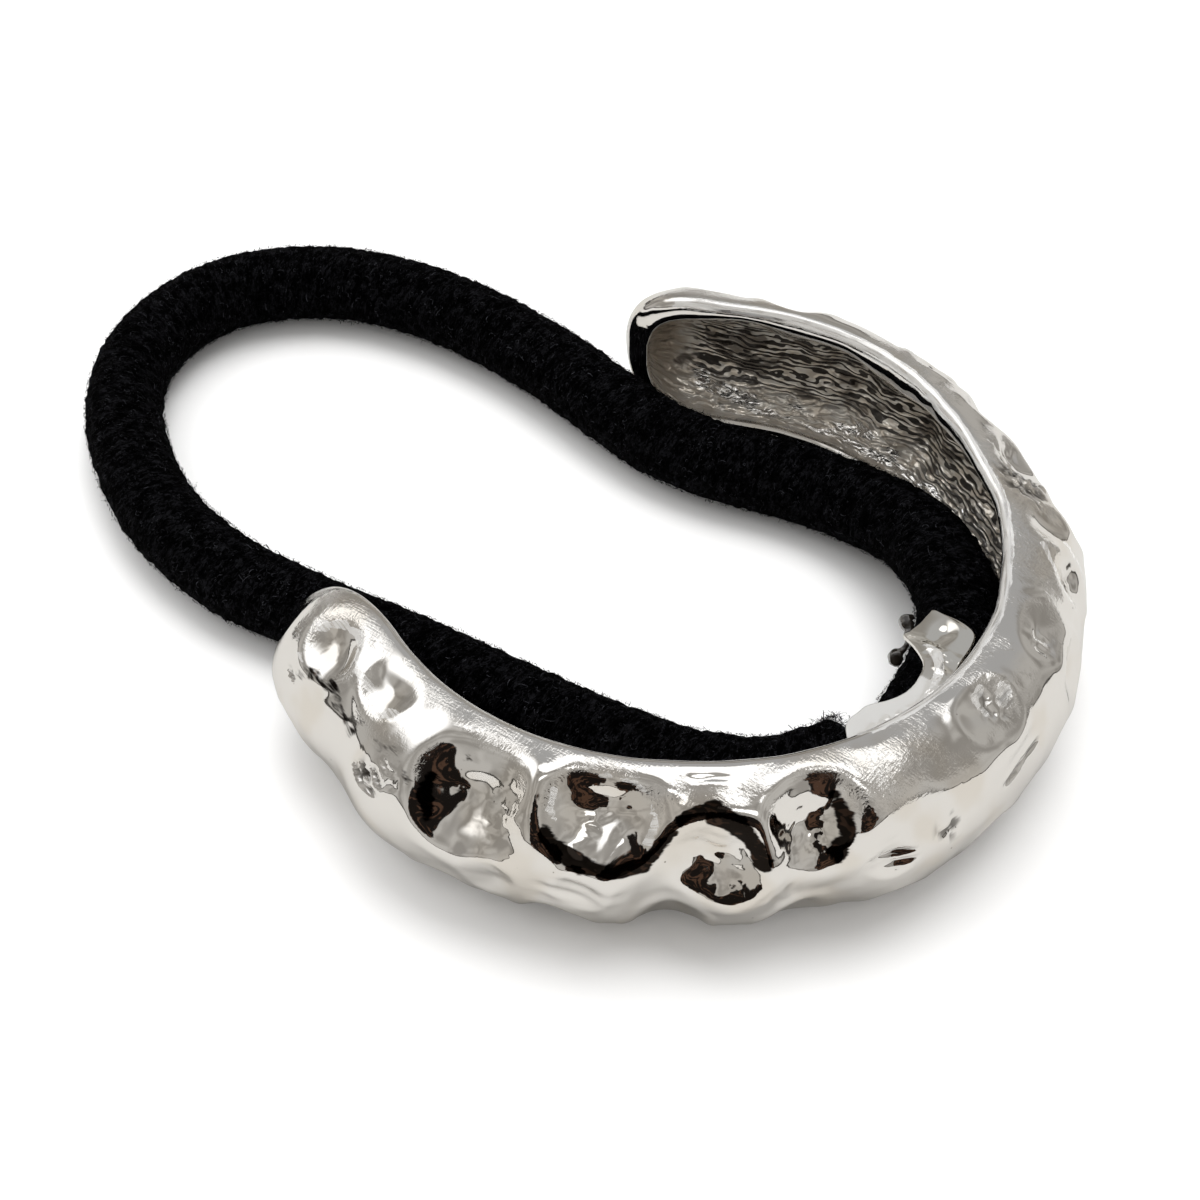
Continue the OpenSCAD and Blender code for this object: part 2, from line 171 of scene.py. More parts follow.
# ---------------------------------------------------------------- nodes
class Nodes:
    """A small hand for building a node tree."""

    def __init__(self, tree):
        self.tree = tree
        tree.nodes.clear()

    def add(self, kind, inputs=None, **props):
        node = self.tree.nodes.new(kind)
        for key, value in props.items():
            setattr(node, key, value)
        for key, value in (inputs or {}).items():
            self.put(node.inputs[key], value)
        return node

    def put(self, socket, value):
        if isinstance(value, bpy.types.NodeSocket):
            self.tree.links.new(value, socket)
        else:
            socket.default_value = value

    def math(self, op, *values, clamp=False):
        node = self.tree.nodes.new("ShaderNodeMath")
        node.operation = op
        node.use_clamp = clamp
        for i, value in enumerate(values):
            self.put(node.inputs[i], value)
        return node.outputs[0]

    def steps(self, value, low, high, to_low=0.0, to_high=1.0, smooth=True):
        node = self.add("ShaderNodeMapRange", {
            "Value": value, "From Min": low, "From Max": high,
            "To Min": to_low, "To Max": to_high})
        node.interpolation_type = "SMOOTHSTEP" if smooth else "LINEAR"
        return node.outputs[0]

    def noise(self, vector, scale, detail=2.0, rough=0.5, distort=0.0):
        return self.add("ShaderNodeTexNoise", {
            "Vector": vector, "Scale": scale, "Detail": detail,
            "Roughness": rough, "Distortion": distort}).outputs[0]

    def stretch(self, vector, scale, turn=(0, 0, 0)):
        return self.add("ShaderNodeMapping", {
            "Vector": vector, "Scale": scale, "Rotation": turn}).outputs[0]

    def mix(self, factor, a, b):
        node = self.add("ShaderNodeMix", data_type="RGBA")
        self.put(node.inputs[0], factor)
        self.put(node.inputs[6], a)
        self.put(node.inputs[7], b)
        return node.outputs[2]

    def bump(self, height, strength, distance, normal=None):
        inputs = {"Height": height, "Strength": strength, "Distance": distance}
        if normal is not None:
            inputs["Normal"] = normal
        return self.add("ShaderNodeBump", inputs).outputs[0]


def new_material(name):
    material = bpy.data.materials.new(name)
    material.use_nodes = True
    return material, Nodes(material.node_tree)


def finish_material(n, **inputs):
    shader = n.add("ShaderNodeBsdfPrincipled", inputs)
    out = n.add("ShaderNodeOutputMaterial")
    n.tree.links.new(shader.outputs[0], out.inputs[0])


def metal_material(name, colour, wear=1.0):
    """Polished cast metal: soft waves, worn patches of fine scratches, small pits.
    The points' own values say where it is worn, where it is the hollow (inside) with
    its furrows (furrow), whose dark lines are painted dark reflections, and tan tips (tan),
    where highlights are painted on (bright), where dark reflections are painted on (dark),
    and where shade is painted at the bottom of a score (score_shade)."""
    warm_film = (0.80, 0.755, 0.69, 1)
    pit_dirt, gouge_shade = (0.10, 0.085, 0.07, 1), (0.035, 0.028, 0.022, 1)
    hollow_dim, hollow_light = (0.80, 0.71, 0.59, 1), (1.0, 0.95, 0.86, 1)
    tip_tan, sunk_brown = (0.42, 0.35, 0.27, 1), (0.10, 0.078, 0.058, 1)
    groove_reflection_black, highlight_white = (0.018, 0.013, 0.009, 1), (0.98, 0.97, 0.95, 1)
    reflection_black, reflection_brown = (0.014, 0.011, 0.009, 1), (0.045, 0.028, 0.020, 1)
    material, n = new_material(name)
    where = n.add("ShaderNodeTexCoord").outputs["Object"]
    skin = n.add("ShaderNodeUVMap", uv_map="winding").outputs[0]

    def point(attribute):
        return n.add("ShaderNodeAttribute", attribute_name=attribute).outputs["Fac"]

    inside, worn, furrow, tan = point("inside"), point("worn"), point("furrow"), point("tan")
    outside = n.math("SUBTRACT", 1.0, inside)
    # Outside: soft waves, scratches where it is worn, and a few pits.
    waves = n.noise(where, 420.0, 1.0)
    creases = n.noise(where, 1300.0, 1.0, 0.5, 0.8)
    creased = n.steps(n.noise(where, 260.0, 2.0, 0.5), 0.50, 0.66)
    patch = n.math("MULTIPLY", n.steps(n.noise(where, 240.0, 2.0, 0.6), 0.36, 0.58), worn)
    scratch_a = n.noise(n.stretch(where, (9000, 900, 9000), (0.3, 0.2, 0.6)), 1.0, 0.0)
    scratch_b = n.noise(n.stretch(where, (900, 9000, 9000), (0.2, 0.7, 0.3)), 1.0, 0.0)
    mottle = n.noise(where, 3600.0, 2.0, 0.65, 1.0)
    scratches = n.math("ADD", n.math("MULTIPLY", n.math("ADD", scratch_a, scratch_b), 0.4), mottle)
    cells = n.add("ShaderNodeTexVoronoi", {"Vector": where, "Scale": 900.0})
    pick = n.add("ShaderNodeTexWhiteNoise", {"Vector": cells.outputs["Position"]}).outputs["Value"]
    pits = n.math("MULTIPLY", n.steps(cells.outputs["Distance"], 0.03, 0.07, 1.0, 0.0),
                  n.steps(pick, 0.70, 0.72))
    # Inside: wavy dark lines that run along the channel, wider here and there, painted
    #     # dark reflections in the ripples' furrows, with sunk brown places, and lumps where it is
    #     smoother.
    lines_per_mm, sway_share = 2.3, 4.6
    across_mm = n.add("ShaderNodeSeparateXYZ", {0: skin}).outputs[1]
    sway = n.noise(n.stretch(skin, (0.42, 0.85, 1.0)), 1.0, 2.0, 0.60)
    phase = n.math("ADD", n.math("MULTIPLY", across_mm, lines_per_mm),
                   n.math("MULTIPLY", sway, sway_share))
    wave = n.math("ABSOLUTE", n.math("SUBTRACT", n.math("FRACT", phase), 0.5))
    wide = n.noise(n.stretch(skin, (0.9, 2.4, 1.0)), 1.0, 1.0)
    edge = n.math("MULTIPLY", wide, 0.46)
    lines = n.math("MULTIPLY", n.steps(n.math("SUBTRACT", wave, edge), -0.02, 0.05, 1.0, 0.0),
                   n.math("MULTIPLY", furrow, 1.15), clamp=True)
    sunk = n.noise(n.stretch(skin, (0.5, 0.75, 1.0)), 1.0, 2.0, 0.6)
    deeper = n.math("ADD", n.math("MULTIPLY", furrow, 0.16), n.math("MULTIPLY", tan, 0.12))
    sunk = n.steps(n.math("SUBTRACT", sunk, deeper), 0.24, 0.32, 1.0, 0.0)
    lumps = n.noise(n.stretch(skin, (1.1, 1.7, 1.0)), 1.0, 1.0, 0.5, 0.8)
    lumpy = n.math("MULTIPLY", inside, n.math("SUBTRACT", 1.25, furrow, clamp=True))
    normal = n.bump(waves, 0.16 * wear, 0.0006)
    normal = n.bump(creases, n.math("MULTIPLY", creased, 0.16 * wear), 0.00012, normal)
    normal = n.bump(scratches, n.math("MULTIPLY", patch, 0.80 * wear), 0.00004, normal)
    normal = n.bump(pits, -0.6 * wear, 0.00004, normal)
    normal = n.bump(wave, n.math("MULTIPLY", furrow, 0.6), 0.00022, normal)
    normal = n.bump(lumps, lumpy, 0.00045, normal)
    plain = n.mix(n.steps(lumps, 0.35, 0.65), hollow_dim, hollow_light)
    plain = n.mix(tan, plain, tip_tan)
    dull = n.mix(n.math("MULTIPLY", sunk, 0.80), plain, sunk_brown)
    dull = n.mix(n.math("MULTIPLY", lines, 0.96), dull, groove_reflection_black)
    film = n.mix(n.math("MULTIPLY", creased, 0.8), colour, warm_film)
    shade = n.mix(inside, film, dull)
    shade = n.mix(n.math("MULTIPLY", n.math("MULTIPLY", pits, 0.7), outside), shade, pit_dirt)
    # Painted highlights: a ragged, streaked pale satin white where the points' bright value is
    # high, with less metal and more roughness.
    ragged = n.noise(n.stretch(skin, (0.9, 2.6, 1.0)), 1.0, 2.0, 0.65, 0.4)
    highlight_paint = n.steps(n.math("ADD", point("bright"), n.math("MULTIPLY", ragged, 0.9)), 0.80, 0.88)
    streak = n.steps(n.noise(n.stretch(skin, (0.45, 5.5, 1.0)), 1.0, 1.0), 0.50, 0.60)
    highlight_paint = n.math("MULTIPLY", highlight_paint, n.steps(streak, 0.0, 1.0, 1.0, 0.60, False))
    shade = n.mix(n.math("MULTIPLY", highlight_paint, 0.90), shade, highlight_white)
    # Painted dark reflections: ragged black and brown where the points' dark value is high,
    # outside only.
    dark_reflection_paint = n.steps(n.math("ADD", point("dark"), n.math("MULTIPLY", ragged, 0.9)), 0.72, 0.98)
    brown = n.steps(n.noise(n.stretch(skin, (0.9, 1.8, 1.0)), 1.0, 1.0, 0.5, 1.4), 0.56, 0.64)
    shade = n.mix(n.math("MULTIPLY", dark_reflection_paint, outside), shade,
                  n.mix(brown, reflection_black, reflection_brown))
    # Painted shade at the bottom of the gouges and nicks.
    shade = n.mix(point("score_shade"), shade, gouge_shade)
    rough = n.math("ADD", n.steps(patch, 0, 1, 0.05, 0.19, False),
                   n.math("MULTIPLY", n.math("ADD", inside, highlight_paint), 0.10))
    bare = n.math("MULTIPLY", inside, n.math("SUBTRACT", 1.0, highlight_paint))
    metallic = n.math("SUBTRACT", n.math("SUBTRACT", 1.0, n.math("MULTIPLY", bare, 0.60)),
                      n.math("MULTIPLY", n.math("MULTIPLY", highlight_paint, outside), 0.38), clamp=True)
    finish_material(n, **{"Base Color": shade, "Metallic": metallic, "Roughness": rough,
                          "Normal": normal})
    return material


def yarn_material():
    """Black yarn wound round the elastic. The UV map is in mm: along, then round."""
    material, n = new_material("elastic_yarn")
    uv = n.add("ShaderNodeUVMap", uv_map="winding").outputs[0]
    lean = n.add("ShaderNodeMapping", {"Vector": uv, "Rotation": (0, 0, 0.22)}).outputs[0]
    loops = n.noise(n.stretch(lean, (6.5, 2.6, 1.0)), 1.0, 2.0, 0.6, 1.6)
    turns = n.noise(n.stretch(lean, (3.6, 0.7, 1.0)), 1.0, 2.0, 0.5, 0.6)
    lumps = n.noise(uv, 1.1, 2.0, 0.5)
    normal = n.bump(turns, 0.6, 0.00018)
    normal = n.bump(loops, 1.0, 0.00022, normal)
    # Lighter on the raised tops of the loops and turns: painted highlights on the yarn.
    light = n.steps(n.math("MULTIPLY", loops, n.math("ADD", turns, lumps)), 0.46, 0.70)
    shade = n.mix(light, (0.0001, 0.0001, 0.0002, 1), (0.0085, 0.0085, 0.0100, 1))
    finish_material(n, **{"Base Color": shade, "Roughness": 0.9, "Normal": normal,
                          "Specular IOR Level": 0.02, "Sheen Weight": 0.0,
                          "Coat Weight": 0.0})
    return material


def fibre_material():
    """Loose fibres, most nearly black and a few paler, by their own tone value."""
    material, n = new_material("elastic_fuzz")
    tone = n.add("ShaderNodeAttribute", attribute_name="tone").outputs["Fac"]
    shade = n.mix(n.math("POWER", tone, 5.0), (0.0003, 0.0003, 0.0004, 1),
                  (0.042, 0.043, 0.050, 1))
    finish_material(n, **{"Base Color": shade, "Roughness": 0.65, "Specular IOR Level": 0.05})
    return material


def plain_material(name, colour, **extra):
    material, n = new_material(name)
    where = n.add("ShaderNodeTexCoord").outputs["Object"]
    grain = n.noise(where, 2600.0, 3.0, 0.6)
    shade = n.mix(grain, tuple(0.75 * c for c in colour[:3]) + (1,), colour)
    normal = n.bump(grain, 0.25, 0.00008)
    finish_material(n, **{"Base Color": shade, "Normal": normal, **extra})
    return material


silver = metal_material("cuff_silver", (0.86, 0.84, 0.81, 1))
# A paler copy of the cuff's silver: painted light that makes the keeper brighter.
keeper_lit_silver = metal_material("keeper_lit_silver", (0.93, 0.91, 0.86, 1), 0.7)
yarn = yarn_material()
fuzz = fibre_material()
glue = plain_material("glue_dark", (0.035, 0.028, 0.022, 1), Roughness=0.12,
                      **{"Transmission Weight": 0.35, "IOR": 1.48})

# ---------------------------------------------------------------- elastic
# The same route as the solid's: from the ring's axis, in mm.
ring_centre = np.array([0.639, 4.107, 0.0])
elastic_d = 5.0
elastic_route = [
    [-5.5, -15.2, 2.7, 0.92], [-7.2, -14.1, 2.3, 1], [-8.5, -12.6, 1.6, 1],
    [-9.5, -10.7, 1.1, 1], [-10.2, -8.4, 0.6, 1], [-10.7, -6.1, 0.3, 1],
    [-11.1, -2.9, 0.1, 1], [-11.6, 0.9, 0.1, 1], [-12.0, 5.4, 0.1, 1],
    [-12.3, 10.3, 0.1, 0.94], [-12.7, 14.5, 0.1, 0.88], [-13.4, 18.5, 0.1, 0.96],
    [-13.8, 23.1, 0.1, 1], [-13.1, 28.3, 0.1, 1], [-11.6, 32.4, 0.1, 1],
    [-9.4, 36.1, 0.1, 1], [-6.9, 39.1, 0.1, 1], [-3.8, 41.4, 0.1, 1],
    [-0.7, 42.5, 0.1, 1], [2.4, 42.7, 0.1, 1], [5.5, 42.0, 0.1, 1],
    [8.5, 40.0, 0.1, 1], [11.0, 36.9, 0.1, 1], [12.7, 32.8, 0.1, 1],
    [13.5, 28.1, 0.1, 1], [13.5, 23.0, 0.1, 1], [12.9, 18.0, 0.1, 1],
    [12.0, 13.4, 0.1, 1], [11.4, 9.3, 0.1, 1], [11.7, 5.2, 0.1, 1],
    [12.7, 1.6, 0.1, 1], [13.3, -1.9, 0.2, 1], [13.2, -5.2, 0.6, 1],
    [12.3, -8.6, 1.4, 1], [10.3, -11.7, 2.1, 1], [7.7, -14.2, 2.5, 1],
    [4.5, -15.7, 2.5, 0.96], [0.9, -16.0, 2.4, 0.78], [-2.3, -15.9, 2.2, 0.68],
    [-4.3, -15.7, 2.1, 0.46],
]
route = np.array(elastic_route, float)
line = np.c_[route[:, :2], elastic_d / 2 + route[:, 2]] + ring_centre


def spline(points, step):
    """A smooth line through points, sampled about every step mm."""
    p = np.vstack([2 * points[:1] - points[1:2], points, 2 * points[-1:] - points[-2:-1]])
    out = []
    for i in range(len(points) - 1):
        p0, p1, p2, p3 = p[i:i + 4]
        count = max(2, int(round(np.linalg.norm((p2 - p1)[:3]) / step)))
        t = np.linspace(0, 1, count, endpoint=False)[:, None]
        out.append(0.5 * (2 * p1 + (p2 - p0) * t + (2 * p0 - 5 * p1 + 4 * p2 - p3) * t * t
                          + (3 * p1 - p0 - 3 * p2 + p3) * t ** 3))
    return np.vstack(out + [points[-1:]])


def tube_frames(path):
    t = unit(np.gradient(path, axis=0))
    across = unit(np.cross(t, [0.0, 0.0, 1.0]))
    return t, across, np.cross(across, t)


def make_elastic():
    path_step, sides, end_round, turn_pitch, turn_h = 0.115, 56, 0.8, 0.24, 0.025
    fine = spline(np.c_[line, route[:, 3]], path_step)
    path, girth = fine[:, :3], fine[:, 3]
    t, across, up = tube_frames(path)
    along = np.r_[0, np.cumsum(np.linalg.norm(np.diff(path, axis=0), axis=1))]
    g = np.linspace(0, 2 * np.pi, sides, endpoint=False) - np.pi / 2
    ring = (np.cos(g)[None, :, None] * across[:, None] + np.sin(g)[None, :, None] * up[:, None])
    radius = (girth * elastic_d / 2)[:, None] * np.ones((1, sides))
    # The ends are rounded off, and the wound yarn stands in low turns.
    end = np.minimum(along, along[-1] - along)[:, None]
    round_off = np.sqrt(clamp01(1 - (1 - clamp01(end / end_round)) ** 2)) * 0.35 + 0.65
    centre = path[:, None]
    turn = along[:, None] / turn_pitch + g[None] / (2 * np.pi) * 3
    strand = np.abs(np.sin(np.pi * turn)) - 0.6
    where = centre + ring * radius[..., None]
    lumpy = wobble(where, 1.6, 3.0) * 0.06 + wobble(where, 0.42, 9.0) * 0.15
    radius = radius * round_off - 0.05 + turn_h * strand + lumpy
    verts = (centre + ring * radius[..., None]).reshape(-1, 3)
    verts = np.vstack([verts, path[0] - t[0] * 0.1, path[-1] + t[-1] * 0.1])
    obj = new_object("elastic", verts, skin_faces(len(path), sides), yarn)
    v = (g + np.pi / 2) / (2 * np.pi) * np.pi * elastic_d
    u_all = np.r_[np.repeat(along, sides), along[0], along[-1]]
    v_all = np.r_[np.tile(v, len(path)), 0, 0]
    grid_uv(obj, u_all, v_all)
    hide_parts("elastic_loop")
    return obj, path, t, across, up, girth


elastic, el_path, el_t, el_across, el_up, el_girth = make_elastic()


def make_fuzz():
    """Short curled fibres over the yarn. Most hug it, some stand off it, and more of
    them stand off at the cut end."""
    count, cut_share, floor_clear = 23000, 0.035, 0.12
    at = rng.integers(0, len(el_path), count)
    cut = rng.random(count) < cut_share
    at[cut] = rng.integers(0, 10, cut.sum())
    turn = rng.uniform(0, 2 * np.pi, count)
    length = rng.uniform(0.22, 0.62, count) * np.where(cut, 1.5, 1.0)
    lean = rng.normal(0.2, 0.9, count)
    curl = rng.normal(0, 3.2, count)
    arch = rng.uniform(0.02, 0.12, count)
    stand = np.where(rng.random(count) < np.where(cut, 0.6, 0.20),
                     rng.gamma(2.0, np.where(cut, 0.08, 0.045), count), 0.0)
    tone = rng.random(count)
    wide = rng.uniform(0.018, 0.036, count)
    radius = el_girth[at] * elastic_d / 2
    steps, verts = 5, []
    u, v, way = np.zeros(count), np.zeros(count), lean.copy()
    for k in range(steps):
        s = k / (steps - 1)
        angle = turn + u / radius
        out = np.cos(angle)[:, None] * el_across[at] + np.sin(angle)[:, None] * el_up[at]
        around = np.cross(el_t[at], out)
        lift = radius + 0.02 + arch * math.sin(math.pi * s) + stand * s
        p = el_path[at] + el_t[at] * v[:, None] + out * lift[:, None]
        heading = np.cos(way)[:, None] * around + np.sin(way)[:, None] * el_t[at]
        w = np.cross(heading, out) * (wide * (1 - 0.6 * s))[:, None]
        verts += [p - w, p + w]
        u = u + np.cos(way) * length / (steps - 1)
        v = v + np.sin(way) * length / (steps - 1)
        way = way + curl * 0.5
    verts = np.stack(verts, 1)
    keep = verts[:, :, 2].min(1) > floor_clear
    verts, tone = verts[keep], tone[keep]
    faces = [(b + 2 * k, b + 2 * k + 1, b + 2 * k + 3, b + 2 * k + 2)
             for b in range(0, len(verts) * 2 * steps, 2 * steps) for k in range(steps - 1)]
    obj = new_object("elastic_fuzz", verts.reshape(-1, 3), faces, fuzz)
    point_value(obj, "tone", np.repeat(tone, 2 * steps))
    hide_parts("elastic_loop")
    return obj


elastic_fuzz = make_fuzz()

# ---------------------------------------------------------------- cuff
ring_r, cuff_h, channel_d, wall_t = 18.0, 10.6, 5.2, 1.1
arm_turn, tip_l, tip_lean, rim_wander = 134.0, 6.0, 1.0, 0.4
dent_w, dent_depth, dent_ridge, dent_inside = 6.8, 0.95, 0.16, 0.7
upper_power, lower_power, tip_power = 1.75, 2.1, 2.6
lean_start, tip_wall, mouth_least, lip_merge = 0.85, 1.1, 0.25, 0.35
dent_fade, lip_taper, bowl_power = 0.26, 1.5, 1.7
ridge_at, ridge_w, dent_reach = 1.08, 0.26, 1.8
mid_r, lip_r, half_h = ring_r + channel_d * 0.5, wall_t / 2, cuff_h / 2

# along, wander, depth
sections = [
    [-1.00, 0.2, 0.86], [-0.93, 0.1, 1.14], [-0.87, 0.1, 1.15], [-0.81, 0.1, 1.08],
    [-0.73, 0.2, 1.22], [-0.62, 0.1, 1.12], [-0.54, -0.1, 1.05], [-0.49, -0.2, 1.08],
    [-0.43, -0.4, 0.83], [-0.36, -0.2, 1.04], [-0.28, 0.2, 0.91], [-0.19, 0.5, 1.09],
    [-0.06, 0.8, 1.02], [0.08, 0.6, 1.01], [0.17, -0.1, 1.01], [0.27, -0.4, 1.10],
    [0.38, -1.2, 0.96], [0.48, -0.7, 0.89], [0.53, -0.2, 0.87], [0.57, 0.2, 0.97],
    [0.63, 0.6, 0.80], [0.70, 0.7, 0.89], [0.77, 0.6, 0.80], [0.84, 0.4, 0.82],
    [0.92, 0.2, 0.95], [1.00, -0.2, 0.94],
]

# The upper lip is thicker along parts of the +X arm: along, extra as a share of wall_t
thick_lip_rows = [
    [0.38, 0.00], [0.47, 0.48], [0.53, 0.62], [0.57, 0.95], [0.62, 0.90],
    [0.68, 0.36], [0.76, 0.42], [0.84, 0.05], [0.93, 0.55],
]

# along, up, size, depth
dents = [
    [-0.88, 0.65, 0.60, 0.65], [-0.78, 0.80, 0.56, 0.50],
    [-0.635, 0.49, 1.04, 1.20], [-0.50, 0.62, 1.00, 1.15],
    [-0.38, 0.29, 0.80, 1.15], [-0.28, 0.46, 0.80, 0.98], [-0.21, 0.13, 0.40, 0.25],
    [-0.05, 0.70, 0.60, 0.30], [0.09, 0.70, 0.64, 0.30],
    [-0.60, -0.06, 0.46, 0.35], [-0.51, 0.04, 0.42, 0.30],
    [0.20, 0.42, 0.50, 0.36], [0.26, 0.70, 0.50, 0.34], [0.10, 0.22, 0.56, 0.55],
    [0.31, 0.30, 0.56, 0.60], [0.38, 0.62, 0.56, 0.65], [0.47, 0.40, 0.64, 0.75],
    [0.57, 0.58, 0.62, 0.70], [0.64, 0.22, 0.60, 0.60], [0.78, 0.56, 0.72, 0.80],
    [0.74, 0.12, 0.56, 0.55], [0.89, 0.42, 0.60, 0.55], [-0.90, -0.34, 0.56, 0.55],
    [-0.78, -0.42, 0.56, 0.50], [-0.66, -0.46, 0.52, 0.55], [-0.54, -0.42, 0.56, 0.65],
    [-0.42, -0.40, 0.60, 0.85], [-0.30, -0.38, 0.56, 0.65], [-0.19, -0.46, 0.52, 0.50],
    [-0.07, -0.40, 0.62, 0.50], [0.06, -0.26, 0.60, 0.55], [0.18, -0.14, 0.56, 0.50],
    [0.17, -0.56, 0.48, 0.45], [0.29, -0.34, 0.62, 0.65], [0.40, -0.06, 0.60, 0.65],
    [0.44, -0.50, 0.56, 0.55], [0.55, -0.18, 0.64, 0.70], [0.63, -0.58, 0.60, 0.70],
    [0.71, -0.28, 0.60, 0.60], [0.83, -0.08, 0.58, 0.60], [0.85, -0.58, 0.62, 0.65],
]

# Painted highlights on ragged bright patches in the hollow: along, up, half length, half height,
# amount
painted_hollow_highlights = [
    [0.900, -0.50, 0.016, 0.14, 0.60], [0.862, -0.62, 0.032, 0.11, 0.90],
    [0.835, -0.66, 0.020, 0.07, 0.75], [0.800, -0.80, 0.036, 0.08, 0.80],
    [0.760, -0.62, 0.022, 0.06, 0.60], [0.690, -0.70, 0.026, 0.08, 0.75],
    [0.655, -0.60, 0.022, 0.09, 0.80], [0.640, -0.84, 0.040, 0.07, 1.00],
    [0.605, -0.66, 0.015, 0.06, 0.70], [0.575, -0.80, 0.035, 0.06, 0.95],
    [0.520, -0.72, 0.024, 0.07, 0.80], [0.460, -0.60, 0.020, 0.07, 0.65],
    [0.720, -0.86, 0.036, 0.06, 0.85], [0.810, 0.35, 0.060, 0.05, 0.30],
]

# Small marks that only the finish has. Gouges run from one place to another;
# rough spots are ragged nicks. Widths, depths and sizes are in mm.
# along, up, along, up, width, depth
gouges = [
    [-0.068, 0.15, -0.036, 0.21, 0.20, 0.26], [-0.036, 0.21, -0.002, 0.22, 0.17, 0.22],
    [-0.060, 0.26, -0.010, 0.32, 0.40, 0.08],
    [0.345, 0.80, 0.305, 0.62, 0.24, 0.20], [0.330, 0.86, 0.285, 0.70, 0.20, 0.18],
    [0.365, 0.70, 0.325, 0.50, 0.26, 0.18], [0.41, 0.86, 0.38, 0.66, 0.22, 0.12],
    [-0.53, 0.10, -0.47, 0.02, 0.34, 0.13], [-0.55, 0.02, -0.50, -0.02, 0.28, 0.12],
    [-0.335, 0.16, -0.32, -0.10, 0.24, 0.09], [-0.318, 0.18, -0.305, -0.06, 0.20, 0.08],
    [-0.343, 0.00, -0.310, 0.16, 0.20, 0.10], [-0.226, 0.26, -0.203, 0.31, 0.14, 0.13],
    [-0.233, 0.15, -0.186, 0.16, 0.18, 0.19], [-0.222, 0.08, -0.183, 0.10, 0.16, 0.16],
    [0.13, 0.90, 0.17, 0.55, 0.30, 0.06], [0.145, 0.35, 0.215, 0.20, 0.30, 0.06],
    [-0.903, 0.30, -0.888, 0.24, 0.15, 0.19], [-0.888, 0.30, -0.892, 0.22, 0.12, 0.15],
    [-0.766, 0.26, -0.752, 0.19, 0.18, 0.24], [-0.752, 0.19, -0.726, 0.20, 0.18, 0.22],
    [-0.740, 0.34, -0.724, 0.27, 0.15, 0.19], [-0.758, 0.31, -0.742, 0.24, 0.14, 0.16],
    [-0.734, 0.44, -0.722, 0.38, 0.14, 0.17], [-0.680, 0.36, -0.665, 0.28, 0.12, 0.10],
    [0.60, 0.92, 0.64, 0.55, 0.30, 0.06], [-0.41, 0.88, -0.36, 0.90, 0.18, 0.08],
]
# along, up, size, depth
rough_spots = [
    [-0.748, 0.26, 0.8, 0.12], [-0.715, 0.34, 0.7, 0.07], [-0.145, 0.16, 0.9, 0.12],
    [-0.208, 0.13, 1.1, 0.07], [0.335, 0.74, 1.7, 0.14], [0.40, 0.66, 1.1, 0.08],
    [-0.030, 0.70, 1.2, 0.10], [0.073, 0.66, 1.0, 0.07], [0.20, 0.42, 0.8, 0.08],
    [-0.38, 0.30, 2.0, 0.06], [-0.285, 0.42, 1.8, 0.06], [-0.50, 0.58, 1.6, 0.06],
    [-0.60, 0.46, 1.4, 0.05], [-0.595, 0.05, 0.6, 0.06],
]

# Where the polish catches the light, highlights are painted (tone above 0), and where it
# # stays dark, dark reflections are painted (tone below 0), as lines of places on the
# # wall: tone, width in mm, then along and up of each place.
tones = [
    (0.62, 0.42, -0.907, 0.67, -0.897, 0.79, -0.875, 0.83, -0.851, 0.81, -0.832, 0.71,
     -0.804, 0.65, -0.771, 0.64, -0.741, 0.70),
    (0.55, 0.24, -0.901, 0.43, -0.886, 0.40),
    (0.60, 0.24, -0.549, 0.71, -0.549, 0.57, -0.537, 0.45, -0.522, 0.37, -0.500, 0.32),
    (0.60, 0.30, -0.507, 0.86, -0.478, 0.86, -0.453, 0.75, -0.442, 0.57, -0.448, 0.40),
    (0.55, 0.42, -0.520, 0.60, -0.509, 0.48, -0.489, 0.44),
    (0.60, 0.30, -0.034, 0.83, -0.052, 0.80, -0.052, 0.68),
    (0.65, 0.42, -0.026, 0.66, -0.013, 0.72), (0.55, 0.22, 0.078, 0.69, 0.075, 0.62),
    (0.60, 0.28, 0.220, 0.75, 0.200, 0.66, 0.179, 0.56, 0.175, 0.41),
    (0.60, 0.26, 0.246, 0.52, 0.237, 0.34, 0.224, 0.17), (0.6, 0.30, -0.300, 0.47, -0.280, 0.49),
    (0.55, 0.26, -0.394, 0.40, -0.377, 0.52, -0.362, 0.36, -0.353, 0.24),
    (-0.85, 0.50, -0.668, 0.27, -0.677, 0.38, -0.677, 0.50, -0.668, 0.60, -0.652, 0.70),
    (-0.80, 0.50, -0.554, 0.40, -0.535, 0.31, -0.509, 0.25, -0.481, 0.24, -0.453, 0.23),
    (-0.80, 0.42, -0.453, 0.24, -0.438, 0.34, -0.424, 0.48),
    (-0.80, 0.34, -0.415, 0.55, -0.400, 0.64, -0.381, 0.68),
    (-0.90, 0.62, -0.381, 0.66, -0.360, 0.58, -0.348, 0.46, -0.338, 0.30),
    (-0.75, 0.55, -0.256, 0.62, -0.249, 0.50, -0.250, 0.34, -0.262, 0.22),
    (-0.42, 0.50, -0.886, 0.37, -0.868, 0.44, -0.841, 0.46, -0.817, 0.40, -0.787, 0.38),
    (-0.36, 0.40, -0.754, 0.46, -0.724, 0.51, -0.696, 0.43),
]

